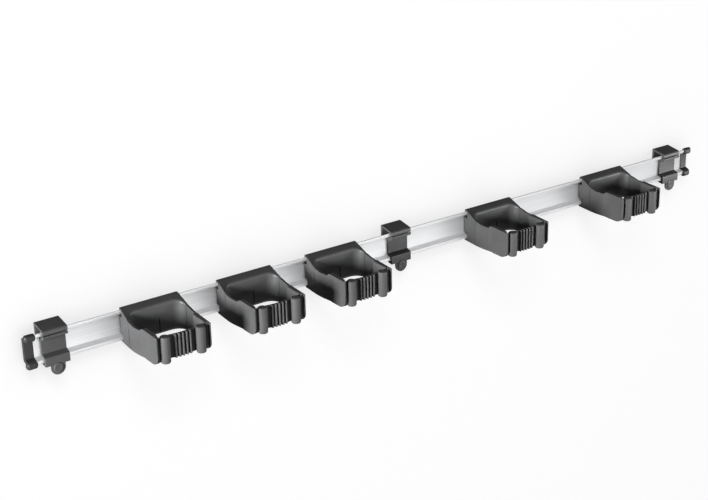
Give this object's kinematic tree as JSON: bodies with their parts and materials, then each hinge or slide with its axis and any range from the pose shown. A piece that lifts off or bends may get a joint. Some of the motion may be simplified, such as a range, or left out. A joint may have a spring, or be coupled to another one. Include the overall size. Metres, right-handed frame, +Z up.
{
  "type": "clamp rack",
  "caption": "Wall rail with spring clip brackets and sliding push-in holders that grip tool handles behind a ribbed elastic membrane.",
  "frame": {"origin": "on the wall behind the middle bracket, at the rail's mid-height", "axes": "+X along the rail to the right, +Y into the wall, +Z up"},
  "size_m": [0.9352, 0.0908, 0.0545],
  "materials": {
    "anodised_aluminium": "satin anodised, drawn along the rail",
    "black_plastic": "satin moulded",
    "black_rubber": "satin moulded"
  },
  "bodies": {
    "rack": {"rail": "anodised_aluminium", "left_end_cap": "black_plastic", "right_end_cap": "black_plastic", "left_bracket_hook": "black_plastic", "middle_bracket_hook": "black_plastic", "right_bracket_hook": "black_plastic"},
    "left_bracket_leaf": {"left_bracket_leaf": "black_plastic"},
    "middle_bracket_leaf": {"middle_bracket_leaf": "black_plastic"},
    "right_bracket_leaf": {"right_bracket_leaf": "black_plastic"},
    "holder_1": {"holder_1_carriage": "black_plastic", "holder_1_membrane": "black_rubber"},
    "holder_1_left_arm": {"holder_1_left_arm": "black_plastic", "holder_1_left_post": "black_rubber"},
    "holder_1_right_arm": {"holder_1_right_arm": "black_plastic", "holder_1_right_post": "black_rubber"},
    "holder_2": {"holder_2_carriage": "black_plastic", "holder_2_membrane": "black_rubber"},
    "holder_2_left_arm": {"holder_2_left_arm": "black_plastic", "holder_2_left_post": "black_rubber"},
    "holder_2_right_arm": {"holder_2_right_arm": "black_plastic", "holder_2_right_post": "black_rubber"},
    "holder_3": {"holder_3_carriage": "black_plastic", "holder_3_membrane": "black_rubber"},
    "holder_3_left_arm": {"holder_3_left_arm": "black_plastic", "holder_3_left_post": "black_rubber"},
    "holder_3_right_arm": {"holder_3_right_arm": "black_plastic", "holder_3_right_post": "black_rubber"},
    "holder_4": {"holder_4_carriage": "black_plastic", "holder_4_membrane": "black_rubber"},
    "holder_4_left_arm": {"holder_4_left_arm": "black_plastic", "holder_4_left_post": "black_rubber"},
    "holder_4_right_arm": {"holder_4_right_arm": "black_plastic", "holder_4_right_post": "black_rubber"},
    "holder_5": {"holder_5_carriage": "black_plastic", "holder_5_membrane": "black_rubber"},
    "holder_5_left_arm": {"holder_5_left_arm": "black_plastic", "holder_5_left_post": "black_rubber"},
    "holder_5_right_arm": {"holder_5_right_arm": "black_plastic", "holder_5_right_post": "black_rubber"}
  },
  "joints": [
    {"name": "left_leaf_release", "type": "hinge", "parent": "rack", "child": "left_bracket_leaf", "pos_m": [-0.4319, -0.0201, 0.0119], "axis": [-1, 0, 0], "range_deg": [0, 30], "stiffness_Nm_per_rad": 0.6},
    {"name": "middle_leaf_release", "type": "hinge", "parent": "rack", "child": "middle_bracket_leaf", "pos_m": [0, -0.0201, 0.0119], "axis": [-1, 0, 0], "range_deg": [0, 30], "stiffness_Nm_per_rad": 0.6},
    {"name": "right_leaf_release", "type": "hinge", "parent": "rack", "child": "right_bracket_leaf", "pos_m": [0.4351, -0.0201, 0.0119], "axis": [-1, 0, 0], "range_deg": [0, 30], "stiffness_Nm_per_rad": 0.6},
    {"name": "holder_1_slide", "type": "slide", "parent": "rack", "child": "holder_1", "axis": [1, 0, 0], "range_m": [-0.056, 0.019]},
    {"name": "holder_1_left_arm_spread", "type": "hinge", "parent": "holder_1", "child": "holder_1_left_arm", "pos_m": [-0.35653, -0.035, 0], "axis": [0, 0, -1], "range_deg": [0, 6], "stiffness_Nm_per_rad": 4},
    {"name": "holder_1_right_arm_spread", "type": "hinge", "parent": "holder_1", "child": "holder_1_right_arm", "pos_m": [-0.28873, -0.035, 0], "axis": [0, 0, 1], "range_deg": [0, 6], "stiffness_Nm_per_rad": 4},
    {"name": "holder_2_slide", "type": "slide", "parent": "rack", "child": "holder_2", "axis": [1, 0, 0], "range_m": [-0.019, 0.018]},
    {"name": "holder_2_left_arm_spread", "type": "hinge", "parent": "holder_2", "child": "holder_2_left_arm", "pos_m": [-0.24121, -0.035, 0], "axis": [0, 0, -1], "range_deg": [0, 6], "stiffness_Nm_per_rad": 4},
    {"name": "holder_2_right_arm_spread", "type": "hinge", "parent": "holder_2", "child": "holder_2_right_arm", "pos_m": [-0.17341, -0.035, 0], "axis": [0, 0, 1], "range_deg": [0, 6], "stiffness_Nm_per_rad": 4},
    {"name": "holder_3_slide", "type": "slide", "parent": "rack", "child": "holder_3", "axis": [1, 0, 0], "range_m": [-0.018, 0.041]},
    {"name": "holder_3_left_arm_spread", "type": "hinge", "parent": "holder_3", "child": "holder_3_left_arm", "pos_m": [-0.1278, -0.035, 0], "axis": [0, 0, -1], "range_deg": [0, 6], "stiffness_Nm_per_rad": 4},
    {"name": "holder_3_right_arm_spread", "type": "hinge", "parent": "holder_3", "child": "holder_3_right_arm", "pos_m": [-0.06, -0.035, 0], "axis": [0, 0, 1], "range_deg": [0, 6], "stiffness_Nm_per_rad": 4},
    {"name": "holder_4_slide", "type": "slide", "parent": "rack", "child": "holder_4", "axis": [1, 0, 0], "range_m": [-0.08, 0.053]},
    {"name": "holder_4_left_arm_spread", "type": "hinge", "parent": "holder_4", "child": "holder_4_left_arm", "pos_m": [0.09959, -0.035, 0], "axis": [0, 0, -1], "range_deg": [0, 6], "stiffness_Nm_per_rad": 4},
    {"name": "holder_4_right_arm_spread", "type": "hinge", "parent": "holder_4", "child": "holder_4_right_arm", "pos_m": [0.16739, -0.035, 0], "axis": [0, 0, 1], "range_deg": [0, 6], "stiffness_Nm_per_rad": 4},
    {"name": "holder_5_slide", "type": "slide", "parent": "rack", "child": "holder_5", "axis": [1, 0, 0], "range_m": [-0.053, 0.066]},
    {"name": "holder_5_left_arm_spread", "type": "hinge", "parent": "holder_5", "child": "holder_5_left_arm", "pos_m": [0.28211, -0.035, 0], "axis": [0, 0, -1], "range_deg": [0, 6], "stiffness_Nm_per_rad": 4},
    {"name": "holder_5_right_arm_spread", "type": "hinge", "parent": "holder_5", "child": "holder_5_right_arm", "pos_m": [0.34991, -0.035, 0], "axis": [0, 0, 1], "range_deg": [0, 6], "stiffness_Nm_per_rad": 4}
  ],
  "couplings": [
    {"joint": "holder_1_right_arm_spread", "follows": "holder_1_left_arm_spread", "ratio": 1},
    {"joint": "holder_2_right_arm_spread", "follows": "holder_2_left_arm_spread", "ratio": 1},
    {"joint": "holder_3_right_arm_spread", "follows": "holder_3_left_arm_spread", "ratio": 1},
    {"joint": "holder_4_right_arm_spread", "follows": "holder_4_left_arm_spread", "ratio": 1},
    {"joint": "holder_5_right_arm_spread", "follows": "holder_5_left_arm_spread", "ratio": 1}
  ]
}
